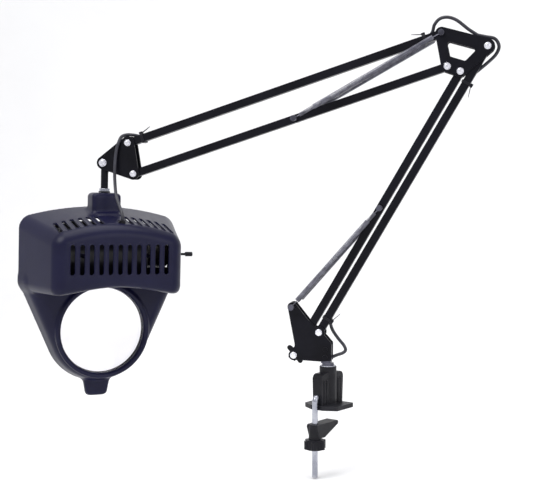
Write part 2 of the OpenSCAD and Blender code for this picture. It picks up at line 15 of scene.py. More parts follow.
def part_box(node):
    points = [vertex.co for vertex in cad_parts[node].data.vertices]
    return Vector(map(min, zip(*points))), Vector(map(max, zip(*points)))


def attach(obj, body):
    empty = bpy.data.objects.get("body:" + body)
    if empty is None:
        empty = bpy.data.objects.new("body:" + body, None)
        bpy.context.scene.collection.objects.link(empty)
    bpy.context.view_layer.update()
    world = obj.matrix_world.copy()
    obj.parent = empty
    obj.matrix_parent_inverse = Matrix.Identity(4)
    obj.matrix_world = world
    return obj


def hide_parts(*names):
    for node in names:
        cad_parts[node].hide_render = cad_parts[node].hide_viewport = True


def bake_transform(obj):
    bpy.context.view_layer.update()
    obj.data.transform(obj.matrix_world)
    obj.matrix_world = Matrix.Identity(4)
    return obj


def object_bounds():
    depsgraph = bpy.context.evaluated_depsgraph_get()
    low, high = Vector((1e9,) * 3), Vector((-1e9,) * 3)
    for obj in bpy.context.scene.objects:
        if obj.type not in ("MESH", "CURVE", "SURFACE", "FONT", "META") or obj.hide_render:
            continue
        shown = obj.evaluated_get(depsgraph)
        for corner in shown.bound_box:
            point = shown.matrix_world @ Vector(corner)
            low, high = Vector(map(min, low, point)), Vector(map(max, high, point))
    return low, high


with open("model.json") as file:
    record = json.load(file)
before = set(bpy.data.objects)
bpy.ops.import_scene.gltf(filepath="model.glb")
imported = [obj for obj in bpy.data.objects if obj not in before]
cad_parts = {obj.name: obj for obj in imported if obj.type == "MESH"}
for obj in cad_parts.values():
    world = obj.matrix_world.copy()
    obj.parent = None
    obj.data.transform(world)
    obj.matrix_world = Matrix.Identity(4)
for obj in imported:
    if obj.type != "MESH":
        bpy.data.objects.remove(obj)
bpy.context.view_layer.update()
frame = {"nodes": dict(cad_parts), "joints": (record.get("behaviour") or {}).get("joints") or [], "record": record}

MM = 0.001

# ---------- places, all taken from the frame ----------

JOINTS = {j["name"]: j for j in frame["joints"]}


def pivot(joint):
    return Vector(JOINTS[joint]["pos_m"])


def frame_from(x_axis, z_axis, origin):
    """4x4 matrix from a frame in millimetres to the row frame in metres."""
    x_axis, z_axis = Vector(x_axis).normalized(), Vector(z_axis).normalized()
    axes = Matrix((x_axis, z_axis.cross(x_axis), z_axis)).transposed().to_4x4()
    return Matrix.Translation(origin) @ axes @ Matrix.Scale(MM, 4)


base_right = pivot("lower_arm_tilt")
base_left = pivot("lower_link_tilt")
elbow_right = pivot("elbow_level")
elbow_left = elbow_right + base_left - base_right
elbow_top = pivot("forearm_tilt")
elbow_low = pivot("forearm_link_tilt")
head_top = pivot("head_level")
head_low = elbow_low + head_top - elbow_top
tilt_pivot = pivot("head_tilt")
spring_anchor = pivot("lower_spring_swing")
lower_stud = pivot("lower_spring_end_swing")
fore_stud = pivot("forearm_spring_end_swing")

stem_up = Vector(JOINTS["head_swivel"]["axis"])
STEM = frame_from((stem_up.z, 0, -stem_up.x), stem_up, tilt_pivot)
HEAD = frame_from(JOINTS["lamp_switch"]["axis"], stem_up, tilt_pivot)
WORLD_MM = Matrix.Scale(MM, 4)

# ---------- sizes, in millimetres ----------

PLATE_OUT = 8.3          # outer face of the bracket plates, from the arm's middle plane
BOLT_R = 2.5
COIL_R = 3.8
INNER_COIL_R = 2.9
WIRE_R = 0.65
HOOK_R = 3.4
CORD_R = 2.3
BAR_HALF = 5.5
SHELL = 3.0              # wall of the moulded head
RIM_Y = 28.0             # open back of the head
RIM_HALF = 118.0
FRONT_Y = -84.0          # front face of the lamp box
TOP_Z = -64.0            # top of the open rim
ROOF_FALL = 0.2144       # slope of the roof towards the front
CROWN, CROWN_GROWTH = 0.00125, 0.0000068   # side-to-side curve of the roof, and its gain towards the front
SPLAY_X, SPLAY_Y, SPLAY = 0.9712, -0.2385, 108.8   # side wall: its outward normal, and distance from the stem
BOX_FILLET = 15.0
BOX_LOW = -189.0         # underside of the lamp box
ARCH_R, ARCH_Z = 200.0, -374.5   # arch under the lamp box
SHIELD_R, SHOULDER_R = 79.0, 18.0
SHOULDER_Z = -171.3
LENS_Z = -245.0
LENS_R = 63.5
SHIELD_Y = -5.0          # front face of the shield round the lens
LAMP_Y, LAMP_Z = -12.0, -133.0
NECK_TOP = -43.4
VENT_PITCH = 13.6
VENT_Z, VENT_HALF, VENT_R = -135.0, 18.0, 3.1
TOP_VENT_X, TOP_VENT_PITCH = 21.5, 11.8
TOP_VENT_Y, TOP_VENT_HALF, TOP_VENT_R = -50.0, 17.5, 2.4
CORD_HOLE = (7.5, -64.0)


# ---------- materials ----------

def socket(node, name, value):
    node.inputs[name].default_value = value


class Finish:
    """A procedural surface: colour that drifts, fine grain in bump and roughness, soft edges lightened as wear and
    as painted highlight.
    """

    def __init__(self, name):
        self.material = bpy.data.materials.new(name)
        self.material.use_nodes = True
        self.tree = self.material.node_tree
        self.shader = self.tree.nodes["Principled BSDF"]
        self.coords = self.tree.nodes.new("ShaderNodeTexCoord")

    def link(self, source, output, target, name):
        self.tree.links.new(source.outputs[output], target.inputs[name])

    def node(self, kind, **settings):
        n = self.tree.nodes.new(kind)
        for key, value in settings.items():
            setattr(n, key, value)
        return n

    def noise(self, scale, detail=3.0, rough=0.55):
        n = self.node("ShaderNodeTexNoise")
        socket(n, "Scale", scale)
        socket(n, "Detail", detail)
        socket(n, "Roughness", rough)
        self.link(self.coords, "Object", n, "Vector")
        return n

    def ramp(self, source, output, low, high, at=(0.35, 0.65)):
        n = self.node("ShaderNodeValToRGB")
        n.color_ramp.elements[0].position, n.color_ramp.elements[1].position = at
        n.color_ramp.elements[0].color = (*low, 1)
        n.color_ramp.elements[1].color = (*high, 1)
        self.link(source, output, n, "Fac")
        return n

    def mix(self, factor, factor_output, a, b_colour):
        n = self.node("ShaderNodeMix", data_type="RGBA")
        self.tree.links.new(factor.outputs[factor_output], n.inputs[0])
        self.tree.links.new(a, n.inputs[6])
        n.inputs[7].default_value = (*b_colour, 1)
        return n.outputs[2]

    def map_range(self, source, output, low, high):
        n = self.node("ShaderNodeMapRange")
        socket(n, "To Min", low)
        socket(n, "To Max", high)
        self.link(source, output, n, "Value")
        return n

    def edges(self, radius):
        """(bevelled normal, mask that is 1 on convex and concave edges)."""
        bevel = self.node("ShaderNodeBevel", samples=6)
        socket(bevel, "Radius", radius)
        geometry = self.node("ShaderNodeNewGeometry")
        dot = self.node("ShaderNodeVectorMath", operation="DOT_PRODUCT")
        self.link(bevel, "Normal", dot, 0)
        self.link(geometry, "Normal", dot, 1)
        mask = self.node("ShaderNodeMapRange")
        socket(mask, "From Min", 0.995)
        socket(mask, "From Max", 0.85)
        self.link(dot, "Value", mask, "Value")
        return bevel, mask

    def bump(self, source, output, distance, under=None, strength=1.0):
        n = self.node("ShaderNodeBump")
        socket(n, "Strength", strength)
        socket(n, "Distance", distance)
        self.link(source, output, n, "Height")
        if under is not None:
            self.link(under, "Normal", n, "Normal")
        return n


def finish(name, dark, light, roughness, spread, grain_scale, grain, edge=None, edge_radius=0.0006,
           metallic=0.0, specular=0.5, coat=0.0, drift_scale=18.0):
    """Paint, plastic, rubber or metal.  grain is the bump height in metres, edge the edge colour: part wear, part
    painted highlight.
    """
    f = Finish(name)
    drift = f.noise(drift_scale, 4.0)
    colour = f.ramp(drift, "Fac", dark, light).outputs["Color"]
    fine = f.noise(grain_scale, 2.0)
    if edge_radius > 0:
        bevel, mask = f.edges(edge_radius)
    else:
        bevel, mask = None, None
    # edges get a lighter colour, broken up by noise: part wear, part painted highlight
    if edge is not None:
        edge_wear_and_highlight = f.node("ShaderNodeMath", operation="MULTIPLY")
        f.link(mask, "Result", edge_wear_and_highlight, 0)
        f.link(f.noise(260.0, 3.0), "Fac", edge_wear_and_highlight, 1)
        colour = f.mix(edge_wear_and_highlight, "Value", colour, edge)
    f.tree.links.new(colour, f.shader.inputs["Base Color"])
    smudge = f.noise(45.0, 4.0)
    worn = f.map_range(smudge, "Fac", roughness - spread, roughness + spread)
    f.link(worn, "Result", f.shader, "Roughness")
    f.link(f.bump(fine, "Fac", grain, bevel), "Normal", f.shader, "Normal")
    socket(f.shader, "Metallic", metallic)
    socket(f.shader, "Specular IOR Level", specular)
    socket(f.shader, "Coat Weight", coat)
    socket(f.shader, "Coat Roughness", 0.25)
    return f.material


def wound_wire():
    """Spring wire: dark steel whose tone drifts, with fine streaks in roughness and bump."""
    f = Finish("spring_wire")
    drift = f.noise(120.0, 3.0)
    colour = f.ramp(drift, "Fac", (0.10, 0.10, 0.125), (0.21, 0.21, 0.25))
    f.link(colour, "Color", f.shader, "Base Color")
    streak = f.noise(900.0, 2.0)
    f.link(f.map_range(streak, "Fac", 0.28, 0.5), "Result", f.shader, "Roughness")
    f.link(f.bump(streak, "Fac", 0.00002), "Normal", f.shader, "Normal")
    socket(f.shader, "Metallic", 0.9)
    return f.material


def lens_glass():
    """Polished crown glass with a faint cool tint and a trace of dust."""
    f = Finish("lens_crown_glass")
    dust = f.noise(160.0, 5.0, 0.7)
    f.link(f.map_range(dust, "Fac", 0.0, 0.03), "Result", f.shader, "Roughness")
    tint = f.ramp(f.noise(9.0, 2.0), "Fac", (0.955, 0.945, 0.985), (0.975, 0.965, 0.995))
    f.link(tint, "Color", f.shader, "Base Color")
    socket(f.shader, "Transmission Weight", 1.0)
    socket(f.shader, "IOR", 1.52)
    return f.material


def enamel_and_painted_shade():
    """Sheet metal, white enamel on the side that faces the bulb; the front side is painted near black as painted
    shade for the dark inside of the head.
    """
    f = Finish("reflector_white_enamel")
    white = f.ramp(f.noise(11.0, 3.0), "Fac", (0.78, 0.78, 0.76), (0.88, 0.88, 0.86))
    # painted shade: faces turned to the head's front get a near-black colour, standing for the shadow inside the
    # lamp box
    facing = f.node("ShaderNodeVectorMath", operation="DOT_PRODUCT")
    f.link(f.coords, "Normal", facing, 0)
    facing.inputs[1].default_value = -HEAD.col[1].to_3d().normalized()
    front = f.node("ShaderNodeMapRange")
    socket(front, "From Min", 0.0)
    socket(front, "From Max", 0.08)
    f.link(facing, "Value", front, "Value")
    # near-black painted shade on the front side of the sheet
    colour = f.mix(front, "Result", white.outputs["Color"], (0.008, 0.008, 0.012))
    f.tree.links.new(colour, f.shader.inputs["Base Color"])
    f.link(f.map_range(f.noise(45.0, 4.0), "Fac", 0.26, 0.42), "Result", f.shader, "Roughness")
    f.link(f.bump(f.noise(700.0, 2.0), "Fac", 0.00003), "Normal", f.shader, "Normal")
    return f.material


def frosted_glass():
    """Bulb glass, etched white on the inside."""
    f = Finish("bulb_frosted_glass")
    cloud = f.noise(60.0, 4.0)
    tint = f.ramp(cloud, "Fac", (0.86, 0.86, 0.84), (0.95, 0.95, 0.93))
    f.link(tint, "Color", f.shader, "Base Color")
    f.link(f.map_range(f.noise(700.0, 2.0), "Fac", 0.25, 0.5), "Result", f.shader, "Roughness")
    socket(f.shader, "Transmission Weight", 0.35)
    socket(f.shader, "Subsurface Weight", 0.3)
    socket(f.shader, "Subsurface Radius", (0.004, 0.004, 0.004))
    return f.material


# Each finish's edge colour is lighter than its body: part wear, part painted highlight.
MATERIALS = {
    "arm_paint": finish("arm_black_enamel", (0.003, 0.003, 0.005), (0.006, 0.006, 0.010), 0.34, 0.07, 900.0,
                        0.00003, (0.035, 0.035, 0.045), 0.0006, specular=0.10, coat=0.03),
    "clamp_paint": finish("clamp_black_casting", (0.006, 0.006, 0.008), (0.014, 0.014, 0.018), 0.42, 0.08,
                          620.0, 0.00009, (0.06, 0.06, 0.07), 0.0012, specular=0.16, coat=0.04),
    "black_plastic": finish("black_moulded_plastic", (0.006, 0.006, 0.009), (0.011, 0.011, 0.015), 0.40, 0.06,
                            1100.0, 0.00004, (0.04, 0.04, 0.05), 0.0007, specular=0.16),
    "zinc": finish("zinc_plated_steel", (0.30, 0.31, 0.36), (0.46, 0.47, 0.52), 0.26, 0.09, 1500.0, 0.00002,
                   (0.75, 0.75, 0.78), 0.0005, metallic=1.0, drift_scale=70.0),
    "bright_bolts": finish("bright_nickel_plate", (0.74, 0.74, 0.80), (0.86, 0.86, 0.92), 0.20, 0.06, 1800.0,
                           0.00001, (0.92, 0.92, 0.96), 0.0004, metallic=0.85, drift_scale=90.0),
    "dark_steel": finish("blackened_steel", (0.045, 0.045, 0.06), (0.10, 0.10, 0.13), 0.34, 0.08, 1300.0,
                         0.00002, (0.20, 0.20, 0.24), 0.0005, metallic=0.8, drift_scale=80.0),
    "cord_rubber": finish("cord_grey_flex", (0.014, 0.014, 0.020), (0.028, 0.028, 0.040), 0.40, 0.07, 1400.0,
                          0.00004, edge_radius=0.0, specular=0.45, drift_scale=60.0),
    "housing_plastic": finish("head_navy_plastic", (0.0045, 0.0045, 0.022), (0.0070, 0.0070, 0.030), 0.34,
                              0.05, 1000.0, 0.00003, (0.02, 0.022, 0.06), 0.0010, specular=0.16, coat=0.05,
                              drift_scale=11.0),
    "reflector_metal": enamel_and_painted_shade(),
    "holder_plastic": finish("holder_black_thermoset", (0.012, 0.011, 0.011), (0.022, 0.020, 0.020), 0.22,
                             0.05, 900.0, 0.00002, edge_radius=0.0008, specular=0.5, coat=0.4),
    "bulb_metal": finish("bulb_cap_metal", (0.55, 0.52, 0.44), (0.72, 0.69, 0.60), 0.32, 0.08, 1500.0,
                         0.00002, edge_radius=0.0004, metallic=1.0, drift_scale=90.0),
    "spring_steel": wound_wire(),
    "lens_glass": lens_glass(),
    "frosted_glass": frosted_glass(),
}
slot_of = {s["node"]: s["material_slot"] for s in frame["record"]["subparts"]}
for node_name, cad_object in frame["nodes"].items():
    cad_object.data.materials.clear()
    cad_object.data.materials.append(MATERIALS[slot_of[node_name]])


# ---------- mesh helpers, all in millimetres ----------

class Piece:
    """Vertices and faces of one new piece; place() turns them into an object that rides on a body."""

    def __init__(self):
        self.verts = []
        self.faces = []

    def add(self, part, matrix=None):
        verts, faces = part
        base = len(self.verts)
        for v in verts:
            v = Vector(v)
            self.verts.append(matrix @ v if matrix is not None else v)
        self.faces.extend(tuple(base + i for i in f) for f in faces)

    def mesh(self, name, to_row):
        mesh = bpy.data.meshes.new(name)
        mesh.from_pydata([to_row @ v for v in self.verts], [], self.faces)
        return mesh

    def place(self, name, slot, body, replaced=(), to_row=WORLD_MM, crease=35.0):
        piece = new_object(name, self.mesh(name, to_row), slot, crease)
        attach(piece, body)
        if replaced:
            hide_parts(*replaced)
        return piece


def new_object(name, mesh, slot, crease):
    tidy = bmesh.new()
    tidy.from_mesh(mesh)
    bmesh.ops.recalc_face_normals(tidy, faces=tidy.faces)
    tidy.to_mesh(mesh)
    tidy.free()
    mesh.shade_smooth()
    mesh.set_sharp_from_angle(angle=math.radians(crease))
    mesh.materials.append(MATERIALS[slot])
    piece = bpy.data.objects.new(name, mesh)
    bpy.context.scene.collection.objects.link(piece)
    return piece


def hull(points):
    """Convex solid round the points."""
    bm = bmesh.new()
    for p in points:
        bm.verts.new(p)
    result = bmesh.ops.convex_hull(bm, input=bm.verts)
    loose = {g for g in result["geom_interior"] + result["geom_unused"] if isinstance(g, bmesh.types.BMVert)}
    bmesh.ops.delete(bm, geom=list(loose), context="VERTS")
    bmesh.ops.dissolve_limit(bm, angle_limit=math.radians(1.0), verts=bm.verts, edges=bm.edges)
    bm.verts.index_update()
    part = [v.co.copy() for v in bm.verts], [tuple(v.index for v in f.verts) for f in bm.faces]
    bm.free()
    return part


def ring_points(radius, z, sides):
    angles = [math.tau * i / sides for i in range(sides)]
    return [(radius * math.cos(a), radius * math.sin(a), z) for a in angles]


def lathe(profile, sides=40):
    """Solid turned about Z from (radius, z) points."""
    verts, faces = [], []
    for radius, z in profile:
        verts.extend(ring_points(radius, z, sides))
    for ring in range(len(profile) - 1):
        for i in range(sides):
            j = (i + 1) % sides
            a, b = ring * sides, (ring + 1) * sides
            faces.append((a + i, a + j, b + j, b + i))
    faces.append(tuple(reversed(range(sides))))
    last = (len(profile) - 1) * sides
    faces.append(tuple(last + i for i in range(sides)))
    return verts, faces


def washer(outer, inner, z0, z1, sides=40):
    """Flat ring about Z with rounded outer corners."""
    e = 0.2
    profile = [(inner, z0), (outer - e, z0), (outer, z0 + e), (outer, z1 - e), (outer - e, z1), (inner, z1)]
    verts, faces = [], []
    for radius, z in profile:
        verts.extend(ring_points(radius, z, sides))
    count = len(profile)
    for ring in range(count):
        for i in range(sides):
            j = (i + 1) % sides
            a, b = ring * sides, ((ring + 1) % count) * sides
            faces.append((a + i, a + j, b + j, b + i))
    return verts, faces


def smooth_path(points, per=8):
    """Catmull-Rom curve through the points."""
    points = [Vector(p) for p in points]
    padded = [2 * points[0] - points[1], *points, 2 * points[-1] - points[-2]]
    path = []
    for i in range(1, len(padded) - 2):
        a, b, c, d = padded[i - 1:i + 3]
        for k in range(per):
            t = k / per
            path.append(0.5 * (2 * b + (c - a) * t + (2 * a - 5 * b + 4 * c - d) * t ** 2
                               + (3 * b - a - 3 * c + d) * t ** 3))
    path.append(points[-1])
    return path


def sweep(path, radius, sides=12, closed=False):
    """Round tube along a path, with rings carried along without twist."""
    path = [Vector(p) for p in path]
    count = len(path)
    tangents = []
    for i in range(count):
        before = path[(i - 1) % count] if closed or i > 0 else path[i]
        after = path[(i + 1) % count] if closed or i < count - 1 else path[i]
        tangents.append((after - before).normalized())
    side = tangents[0].orthogonal().normalized()
    verts, faces = [], []
    for point, tangent in zip(path, tangents):
        side = (side - tangent * side.dot(tangent)).normalized()
        other = tangent.cross(side)
        for k in range(sides):
            a = math.tau * k / sides
            verts.append(point + radius * (math.cos(a) * side + math.sin(a) * other))
    for ring in range(count if closed else count - 1):
        a, b = ring * sides, ((ring + 1) % count) * sides
        for k in range(sides):
            m = (k + 1) % sides
            faces.append((a + k, a + m, b + m, b + k))
    if not closed:
        faces.append(tuple(reversed(range(sides))))
        faces.append(tuple((count - 1) * sides + k for k in range(sides)))
    return verts, faces


def turn_to_front(point):
    """Matrix in millimetres whose Z points out of the arm's front, at a pivot given in metres."""
    return Matrix.Translation((point.x / MM, 0.0, point.z / MM)) @ Matrix.Rotation(math.pi / 2, 4, "X")


def turn_to_rear(point):
    return Matrix.Translation((point.x / MM, 0.0, point.z / MM)) @ Matrix.Rotation(-math.pi / 2, 4, "X")


def millimetres(point):
    return Vector(point) / MM


# ---------- the moulded head, as a distance field turned into a mesh ----------

def smooth_max(a, b, k):
    h = np.maximum(k - np.abs(a - b), 0.0) / k
    return np.maximum(a, b) + h * h * k * 0.25


def smooth_min(a, b, k):
    return -smooth_max(-a, -b, k)


def fillet_max(a, b, r):
    """Intersection of two signed distances, with a circular fillet of radius r along the edge."""
    inner = np.minimum(np.maximum(a, b) + r, 0.0)
    return inner + np.hypot(np.maximum(a + r, 0.0), np.maximum(b + r, 0.0)) - r


def roof_height(x, y):
    """Height of the lamp box's roof: crowned from side to side and falling towards the front."""
    forward = RIM_Y - y
    return TOP_Z - ROOF_FALL * forward - (CROWN + CROWN_GROWTH * forward) * x * x


def lamp_box(x, y, z):
    splayed = SPLAY_X * np.abs(x) + SPLAY_Y * y - SPLAY
    form = fillet_max(FRONT_Y - y, np.maximum(splayed, np.abs(x) - RIM_HALF), BOX_FILLET)
    form = fillet_max(form, (z - roof_height(x, y)) * 0.97, BOX_FILLET)
    form = smooth_max(form, ARCH_R - np.hypot(x, z - ARCH_Z), 11.0)
    return fillet_max(form, BOX_LOW - z, BOX_FILLET)


def shield(x, y, z):
    """Teardrop round the lens: a large circle and two small shoulder circles joined by straight sides."""
    step_x, step_z = RIM_HALF - SHOULDER_R - 0.3, SHOULDER_Z - LENS_Z
    length = math.hypot(step_x, step_z)
    along = (np.abs(x) * step_x + (z - LENS_Z) * step_z) / length
    across = np.abs(np.abs(x) * step_z - (z - LENS_Z) * step_x) / length
    lean = (SHIELD_R - SHOULDER_R) / length
    rise = math.sqrt(1.0 - lean * lean)
    k = rise * along - lean * across
    outline = np.where(k < 0.0, np.hypot(across, along) - SHIELD_R,
                       np.where(k > rise * length, np.hypot(across, along - length) - SHOULDER_R,
                                across * rise + along * lean - SHIELD_R))
    return smooth_max(outline + 0.20 * (RIM_Y - y), SHIELD_Y - y, 16.0)


def rounded_block(dx, dy, dz, k):
    return smooth_max(smooth_max(dx, dy, k), dz, k)


def head_field(x, y, z):
    """Signed distance, in millimetres, to the head moulding; negative inside the plastic."""
    body = smooth_min(lamp_box(x, y, z), shield(x, y, z), 5.0)
    neck = rounded_block(np.abs(x) - 21.5, np.abs(y) - 17.0, np.maximum(z - NECK_TOP, -92.0 - z), 7.0)
    plinth = rounded_block(np.abs(x) - 17.5, np.maximum(-27.5 - y, y + 14.0),
                           np.maximum(z - roof_height(x, y) - 3.2, -100.0 - z), 2.6)
    tab_half = 16.0 + (z + 346.0) * 0.18
    tab = rounded_block(np.abs(x) - tab_half, 19.0 - y, np.maximum(-346.5 - z, z + 300.0), 7.0)
    bead = np.hypot(np.hypot(x, z - LENS_Z) - LENS_R - 3.6, y - SHIELD_Y + 0.2) - 3.7
    outer = smooth_min(body, neck, 6.0)
    outer = smooth_min(outer, plinth, 2.5)
    outer = smooth_min(outer, tab, 6.0)
    outer = smooth_min(outer, bead, 2.6)
    shell = np.maximum(outer, y - RIM_Y)
    shell = smooth_max(shell, -(body + SHELL), 1.6)

    lens_distance = np.hypot(x, z - LENS_Z)
    seat = np.maximum(np.abs(lens_distance - LENS_R - 1.9) - 1.9, np.abs(y - 2.8) - 6.8)
    shell = smooth_min(shell, seat, 1.6)
    for side in (-1, 1):
        boss = np.hypot(x - side * 3.5 * VENT_PITCH, z + 131.0) - 3.4
        shell = smooth_min(shell, np.maximum(boss, np.abs(y + 66.35) - 16.15), 1.2)
    shell = smooth_max(shell, -np.maximum(lens_distance - LENS_R + 0.9, y - 14.0), 1.2)
    shell = np.maximum(shell, -np.maximum(lens_distance - LENS_R - 0.2, 3.2 - y))

    near_x = x - VENT_PITCH * np.clip(np.round(x / VENT_PITCH), -5, 5)
    front_slot = np.hypot(near_x, np.maximum(np.abs(z - VENT_Z) - VENT_HALF, 0.0)) - VENT_R
    shell = smooth_max(shell, -np.maximum(front_slot, y + 71.0), 1.2)
    far = np.abs(x)
    top_number = np.clip(np.round((far - TOP_VENT_X) / TOP_VENT_PITCH), 0, 5)
    near_top = far - TOP_VENT_X - TOP_VENT_PITCH * top_number
    top_slot = np.hypot(near_top, np.maximum(np.abs(y - TOP_VENT_Y) - TOP_VENT_HALF, 0.0)) - TOP_VENT_R
    shell = smooth_max(shell, -np.maximum(top_slot, -108.0 - z), 1.2)

    stem_distance = np.hypot(x, y)
    shell = np.maximum(shell, -np.maximum(stem_distance - 7.6, -95.0 - z))
    shell = np.maximum(shell, -np.maximum(stem_distance - 11.6, np.abs(z + 84.5) - 15.5))
    cord_hole = np.hypot(x - CORD_HOLE[0], y - CORD_HOLE[1]) - 4.3
    shell = smooth_max(shell, -np.maximum(cord_hole, -100.0 - z), 1.0)
    switch_hole = np.hypot(y - LAMP_Y, z - LAMP_Z) - 4.5
    return np.maximum(shell, -np.maximum(switch_hole, 90.0 - x))


def surface_net(field, low, high, step):
    """Closed quad mesh on the zero level of a field function, one vertex per cell that it crosses."""
    axes = [np.arange(a, b + step, step, dtype=np.float32) for a, b in zip(low, high)]
    x, y, z = np.meshgrid(*axes, indexing="ij")
    value = field(x, y, z).astype(np.float32)
    inside = value < 0.0
    corners = [(i, j, k) for i in (0, 1) for j in (0, 1) for k in (0, 1)]

    def shifted(grid, corner):
        return grid[tuple(slice(c, n - 1 + c) for c, n in zip(corner, grid.shape))]

    filled = sum(shifted(inside, c).astype(np.int8) for c in corners)
    cells = np.argwhere((filled > 0) & (filled < 8))
    numbers = np.full(filled.shape, -1, np.int64)
    numbers[tuple(cells.T)] = np.arange(len(cells))
    total = np.zeros((len(cells), 3), np.float32)
    hits = np.zeros(len(cells), np.float32)
    for a in corners:
        for axis in range(3):
            if a[axis] == 1:
                continue
            b = tuple(1 if i == axis else c for i, c in enumerate(a))
            va = shifted(value, a)[tuple(cells.T)]
            vb = shifted(value, b)[tuple(cells.T)]
            cut = (va < 0) != (vb < 0)
            t = np.where(cut, va / np.where(cut, va - vb, 1.0), 0.0)
            point = np.array(a, np.float32)[None, :] + np.zeros((len(cells), 1), np.float32)
            point[:, axis] = t
            total += np.where(cut[:, None], point, 0.0)
            hits += cut
    verts = (cells + total / hits[:, None]) * step + np.array([a[0] for a in axes], np.float32)
    quads = []
    for axis in range(3):
        u, v = (axis + 1) % 3, (axis + 2) % 3
        first = np.moveaxis(inside, (axis, u, v), (0, 1, 2))
        ids = np.moveaxis(numbers, (axis, u, v), (0, 1, 2))
        near, far = first[:-1, 1:-1, 1:-1], first[1:, 1:-1, 1:-1]
        a, b, c, d = ids[:, :-1, :-1], ids[:, 1:, :-1], ids[:, 1:, 1:], ids[:, :-1, 1:]
        for change, order in ((near & ~far, (a, b, c, d)), (~near & far, (d, c, b, a))):
            quads.append(np.stack([grid[change] for grid in order], axis=1))
    return verts, np.concatenate(quads)


def stadium(half_len, radius, arc=8):
    """Closed outline of a slot along its second coordinate."""
    points = []
    for end in (1, -1):
        for i in range(arc + 1):
            a = math.pi * i / arc
            points.append((end * radius * math.cos(a), end * (half_len + radius * math.sin(a))))
    return points


def head_shell():
    step = 1.3
    verts, quads = surface_net(head_field, (-121.0, -87.0, -349.5), (121.0, 30.5, -41.0), step)
    piece = Piece()
    piece.add(([tuple(v) for v in verts.tolist()], quads.tolist()))
    for i in range(-5, 6):
        rim = [(i * VENT_PITCH + u, FRONT_Y - 0.05, VENT_Z + v) for u, v in stadium(VENT_HALF, VENT_R + 0.9)]
        piece.add(sweep(rim, 0.75, 8, closed=True))
    for side in (-1, 1):
        for i in range(6):
            middle = side * (TOP_VENT_X + TOP_VENT_PITCH * i)
            outline = [(middle + u, TOP_VENT_Y + v) for u, v in stadium(TOP_VENT_HALF, TOP_VENT_R + 0.7)]
            rim = [(x, y, roof_height(x, y) - 0.05) for x, y in outline]
            piece.add(sweep(rim, 0.6, 8, closed=True))
    piece.place("head_shell", "housing_plastic", "head", ["head_housing"], HEAD, crease=50.0)


head_shell()


# ---------- bolts, nuts and studs ----------

def hex_solid(radius, z0, z1, chamfer=0.45, both=False):
    """Hexagon bar along Z whose outer corners are turned down."""
    points = ring_points(radius, z1 - chamfer, 6) + ring_points(radius * 0.89, z1, 24)
    if both:
        points += ring_points(radius, z0 + chamfer, 6) + ring_points(radius * 0.89, z0, 24)
    else:
        points += ring_points(radius, z0, 6)
    return hull(points)


def threaded(radius, z0, z1, pitch=0.8):
    """Thread end: a turned bar with a groove per pitch and a chamfered tip."""
    profile = [(radius * 0.86, z0)]
    z = z0
    while z + pitch < z1 - 0.4:
        root = radius * 0.86
        profile += [(root, z + 0.12 * pitch), (radius, z + 0.5 * pitch), (root, z + 0.88 * pitch)]
        z += pitch
    profile += [(radius * 0.95, z1 - 0.4), (radius * 0.7, z1)]
    return lathe(profile, 24)


def bolt(piece, point, radius=BOLT_R, head=4.3, tail=13.5):
    front, rear = turn_to_front(point), turn_to_rear(point)
    piece.add(washer(head + 0.5, radius, PLATE_OUT + 0.05, PLATE_OUT + 1.05), front)
    piece.add(hex_solid(head, PLATE_OUT + 1.05, PLATE_OUT + 4.0), front)
    crown = [(head * 0.62, PLATE_OUT + 3.9), (head * 0.55, PLATE_OUT + 4.2), (head * 0.3, PLATE_OUT + 4.3)]
    piece.add(lathe(crown, 32), front)
    piece.add(lathe([(radius, -PLATE_OUT - 1.0), (radius, PLATE_OUT + 0.2)], 32), front)
    piece.add(threaded(radius, PLATE_OUT + 0.2, tail), rear)


def nut(piece, point, radius=BOLT_R, head=4.75):
    rear = turn_to_rear(point)
    piece.add(washer(head + 0.4, radius + 0.02, PLATE_OUT + 0.05, PLATE_OUT + 0.75), rear)
    piece.add(hex_solid(head, PLATE_OUT + 0.75, PLATE_OUT + 4.2, both=True), rear)


def fasteners():
    for name, body, bolted, nutted in (
            ("base", "base_bracket", [(base_right, 13.5), (base_left, 16.0)], [base_right]),
            ("elbow", "elbow", [(p, 13.5) for p in (elbow_left, elbow_right, elbow_low)],
             [elbow_left, elbow_right, elbow_low]),
            ("head", "head_bracket", [(head_top, 13.5), (head_low, 13.5)], [head_top, head_low])):
        bolts, nuts = Piece(), Piece()
        for point, tail in bolted:
            bolt(bolts, point, tail=tail)
        for point in nutted:
            nut(nuts, point)
        bolts.place(f"{name}_hex_bolts", "bright_bolts", body, [f"{name}_bolts"])
        nut_node = "base_nut" if name == "base" else f"{name}_nuts"
        nuts.place(f"{name}_hex_nuts", "bright_bolts", body, [nut_node])
    tilt = Piece()
    bolt(tilt, tilt_pivot, 3.0, 5.2, 17.0)
    tilt.place("tilt_hex_bolt", "bright_bolts", "head_bracket", ["tilt_bolt"])


fasteners()


def wing(piece, matrix, hub=5.2):
    """Moulded wing nut: a turned hub and two rounded ears."""
    z = PLATE_OUT
    boss = [(hub, z + 0.05), (hub, z + 1.2), (hub * 0.86, z + 5.2), (hub * 0.7, z + 6.0)]
    piece.add(lathe(boss, 32), matrix)
    for side in (-1, 1):
        outline = []
        for cx, cy, r in ((side * 12.0, 2.2, 3.5), (side * 1.0, 2.6, 2.4), (0.0, -1.2, 3.0)):
            outline += [(cx + r * math.cos(a), cy + r * math.sin(a))
                        for a in (math.tau * i / 20 for i in range(20))]
        inset = [(x * 0.97, y * 0.93) for x, y in outline]
        points = [(x, y, z + 2.5) for x, y in outline] + [(x, y, z + 4.2) for x, y in outline]
        points += [(x, y, z + 1.9) for x, y in inset] + [(x, y, z + 4.8) for x, y in inset]
        piece.add(hull(points), matrix)


